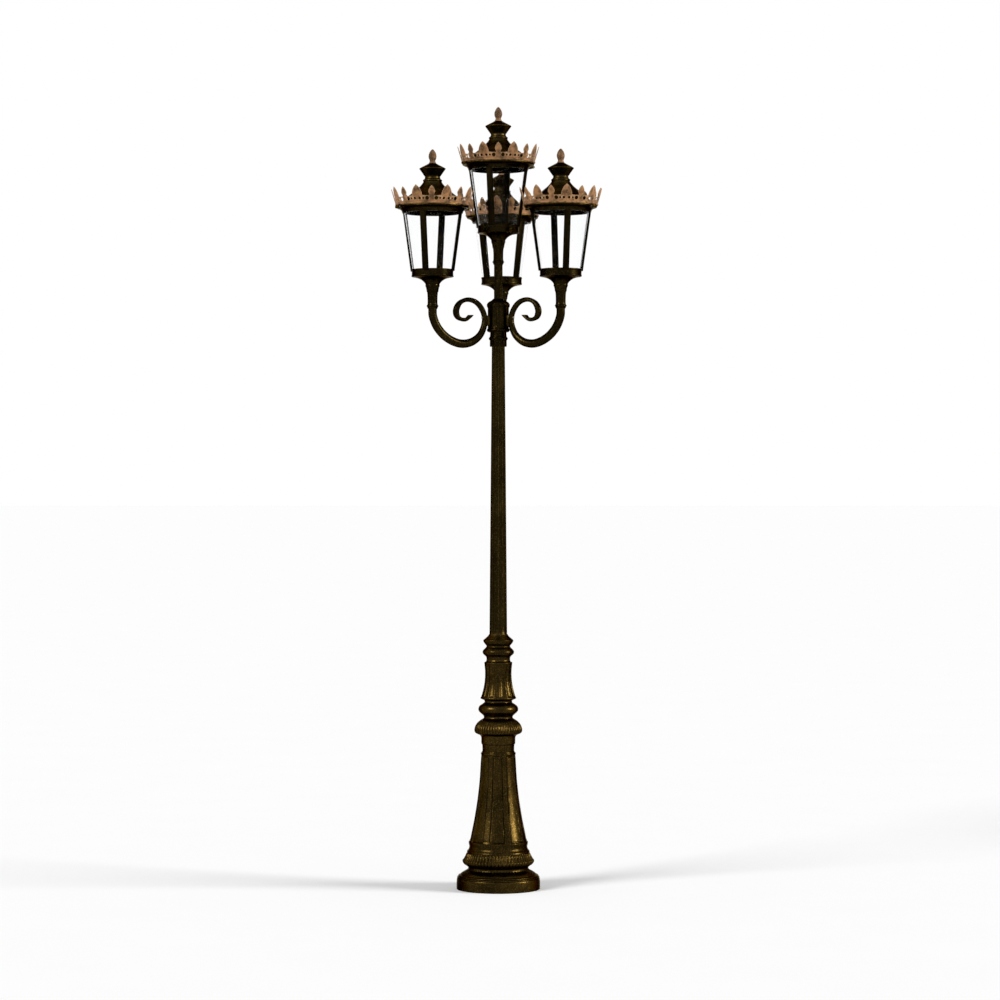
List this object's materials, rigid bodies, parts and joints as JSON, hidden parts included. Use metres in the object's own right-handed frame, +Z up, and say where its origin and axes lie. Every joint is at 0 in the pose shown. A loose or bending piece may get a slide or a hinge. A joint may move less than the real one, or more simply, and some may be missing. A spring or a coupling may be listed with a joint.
{
  "type": "street lamp post",
  "caption": "Tall cast lamp post with a fluted shaft, scroll arms and crowned round lanterns, one of them raised in the centre.",
  "frame": {"origin": "centre of the anchor hole circle, on the ground face under the post's axis", "axes": "+Z up along the post's axis; +Y along the rear arm; the picture looks along about +Y"},
  "size_m": [0.9347, 0.8608, 3.5027],
  "materials": {
    "bronzed_iron": "dark bronze coating with rubbed gold-brown patina",
    "bronzed_aluminium": "dark bronze coating with rubbed gold-brown patina",
    "aged_copper": "matte aged copper with pinkish-brown patina",
    "clear_glass": "clear",
    "lamp_white": "satin diffuser",
    "dark_steel": "blackened",
    "fuse_grey": "moulded"
  },
  "bodies": {
    "post": {"base_casting": "bronzed_iron", "fuse_unit": "fuse_grey", "bell_collar": "bronzed_iron", "vase_casting": "bronzed_iron", "ring_collar": "bronzed_iron", "shaft": "bronzed_aluminium", "hub_collar": "bronzed_aluminium", "hub": "bronzed_aluminium", "centre_stem": "bronzed_aluminium", "arm_back": "bronzed_aluminium", "arm_left": "bronzed_aluminium", "arm_right": "bronzed_aluminium", "arm_screws": "dark_steel", "base_door_hinge_pin": "dark_steel", "back_cup": "bronzed_aluminium", "back_uprights": "bronzed_aluminium", "back_glass": "clear_glass", "back_ring": "bronzed_aluminium", "back_hinge_pin": "dark_steel", "left_cup": "bronzed_aluminium", "left_uprights": "bronzed_aluminium", "left_glass": "clear_glass", "left_ring": "bronzed_aluminium", "left_hinge_pin": "dark_steel", "right_cup": "bronzed_aluminium", "right_uprights": "bronzed_aluminium", "right_glass": "clear_glass", "right_ring": "bronzed_aluminium", "right_hinge_pin": "dark_steel", "centre_cup": "bronzed_aluminium", "centre_uprights": "bronzed_aluminium", "centre_glass": "clear_glass", "centre_ring": "bronzed_aluminium", "centre_hinge_pin": "dark_steel"},
    "access_door": {"base_door": "bronzed_iron", "base_door_screw": "dark_steel"},
    "back_lid": {"back_roof": "bronzed_aluminium", "back_crown": "aged_copper", "back_cap": "bronzed_aluminium", "back_finial": "aged_copper", "back_lamp": "lamp_white", "back_closing_screw": "dark_steel"},
    "left_lid": {"left_roof": "bronzed_aluminium", "left_crown": "aged_copper", "left_cap": "bronzed_aluminium", "left_finial": "aged_copper", "left_lamp": "lamp_white", "left_closing_screw": "dark_steel"},
    "right_lid": {"right_roof": "bronzed_aluminium", "right_crown": "aged_copper", "right_cap": "bronzed_aluminium", "right_finial": "aged_copper", "right_lamp": "lamp_white", "right_closing_screw": "dark_steel"},
    "centre_lid": {"centre_roof": "bronzed_aluminium", "centre_crown": "aged_copper", "centre_cap": "bronzed_aluminium", "centre_finial": "aged_copper", "centre_lamp": "lamp_white", "centre_closing_screw": "dark_steel"}
  },
  "joints": [
    {"name": "base_door_hinge", "type": "hinge", "parent": "post", "child": "access_door", "pos_m": [0, 0.12207, 0.25001], "axis": [-1, 0, 0], "range_deg": [0, 95]},
    {"name": "back_lid_hinge", "type": "hinge", "parent": "post", "child": "back_lid", "pos_m": [0, 0.498, 3.0329], "axis": [-1, 0, 0], "range_deg": [0, 100]},
    {"name": "left_lid_hinge", "type": "hinge", "parent": "post", "child": "left_lid", "pos_m": [-0.43128, -0.249, 3.0329], "axis": [0.5, -0.866, 0], "range_deg": [0, 100]},
    {"name": "right_lid_hinge", "type": "hinge", "parent": "post", "child": "right_lid", "pos_m": [0.43128, -0.249, 3.0329], "axis": [0.5, 0.866, 0], "range_deg": [0, 100]},
    {"name": "centre_lid_hinge", "type": "hinge", "parent": "post", "child": "centre_lid", "pos_m": [0.14722, 0.085, 3.2399], "axis": [-0.5, 0.866, 0], "range_deg": [0, 100]}
  ]
}
